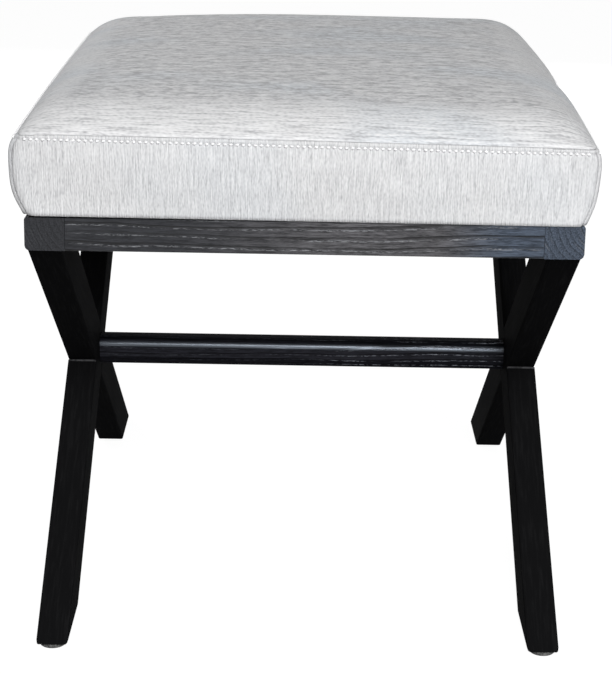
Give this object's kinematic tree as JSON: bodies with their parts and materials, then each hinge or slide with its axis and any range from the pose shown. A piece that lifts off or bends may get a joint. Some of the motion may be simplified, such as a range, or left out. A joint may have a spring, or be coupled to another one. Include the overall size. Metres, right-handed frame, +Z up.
{
  "type": "ottoman",
  "caption": "Rectangular ottoman with a padded boxed seat on a wooden apron, carried by crossed straight legs on its long sides that a stretcher bar joins.",
  "frame": {"origin": "middle of the footprint, on the floor", "axes": "+X to the right as seen from the pictured short end, +Y away from that end along the seat, +Z up"},
  "size_m": [0.4616, 0.6416, 0.4552],
  "materials": {
    "chenille": "soft ribbed chenille, matt",
    "foam": "upholstery foam, hidden",
    "plywood": "raw plywood, hidden",
    "dust_cloth": "black non-woven cloth, matt",
    "stained_ash": "charcoal stain on open grain, satin",
    "black_lacquer": "black lacquer, satin",
    "beech": "raw beech",
    "zinc": "zinc-plated steel",
    "brass": "turned brass",
    "felt": "dark pressed felt, matt"
  },
  "bodies": {
    "root": {"cover_top_panel": "chenille", "cover_front_band": "chenille", "cover_back_band": "chenille", "cover_left_band": "chenille", "cover_right_band": "chenille", "seat_foam": "foam", "seat_board": "plywood", "dust_cover": "dust_cloth", "front_rail": "stained_ash", "back_rail": "stained_ash", "left_rail": "stained_ash", "right_rail": "stained_ash", "rail_dowel_front_left": "beech", "rail_dowel_front_right": "beech", "rail_dowel_back_left": "beech", "rail_dowel_back_right": "beech", "corner_block_front_left": "beech", "corner_block_front_right": "beech", "corner_block_back_left": "beech", "corner_block_back_right": "beech", "seat_screw_front_left": "zinc", "seat_screw_front_right": "zinc", "seat_screw_back_left": "zinc", "seat_screw_back_right": "zinc", "leg_front_left": "black_lacquer", "leg_front_right": "black_lacquer", "leg_back_left": "black_lacquer", "leg_back_right": "black_lacquer", "leg_screw_front_left": "zinc", "leg_screw_front_right": "zinc", "leg_screw_back_left": "zinc", "leg_screw_back_right": "zinc", "leg_dowel_front_left": "beech", "leg_dowel_front_right": "beech", "leg_dowel_back_left": "beech", "leg_dowel_back_right": "beech", "foot_pad_front_left": "felt", "foot_pad_front_right": "felt", "foot_pad_back_left": "felt", "foot_pad_back_right": "felt", "stretcher": "black_lacquer", "stretcher_bolt_left": "zinc", "stretcher_bolt_right": "zinc", "threaded_insert_left": "brass", "threaded_insert_right": "brass", "bolt_plug_left": "black_lacquer", "bolt_plug_right": "black_lacquer"}
  },
  "joints": []
}
